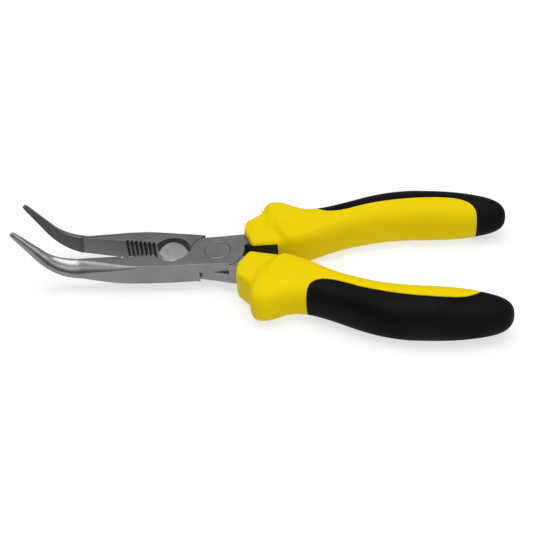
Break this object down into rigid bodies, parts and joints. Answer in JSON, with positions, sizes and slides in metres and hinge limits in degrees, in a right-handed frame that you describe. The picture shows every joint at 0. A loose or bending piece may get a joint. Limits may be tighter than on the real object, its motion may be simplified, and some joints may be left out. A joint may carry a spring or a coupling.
{
  "type": "bent long nose pliers",
  "caption": "Lap-joint long nose pliers with tapered nose bent to one side, grooved grip zone, round opening and two-part moulded handles, standing part open.",
  "frame": {"origin": "on the pivot axis, on the back face of the lap joint (the back head of the rivet)", "axes": "+Z along the pivot axis towards the joint's front face, the side the nose bends to; +X from the pivot to the handles, so the jaws point to -X; Y across the tool"},
  "size_m": [0.2005, 0.081, 0.0291],
  "materials": {
    "lever_steel": "finely ground, satin",
    "rivet_steel": "ground flush, satin",
    "yellow_plastic": "satin moulded",
    "black_soft_grip": "matt, soft touch"
  },
  "bodies": {
    "front_lever": {"front_lap_lever": "lever_steel", "pivot_rivet": "rivet_steel", "front_lever_sleeve": "yellow_plastic", "front_lever_grip": "black_soft_grip"},
    "back_lever": {"back_lap_lever": "lever_steel", "back_lever_sleeve": "yellow_plastic", "back_lever_grip": "black_soft_grip"}
  },
  "joints": [
    {"name": "pivot", "type": "hinge", "parent": "front_lever", "child": "back_lever", "pos_m": [0, 0, 0.0045], "axis": [0, 0, 1], "range_deg": [-25, 12.5]}
  ]
}
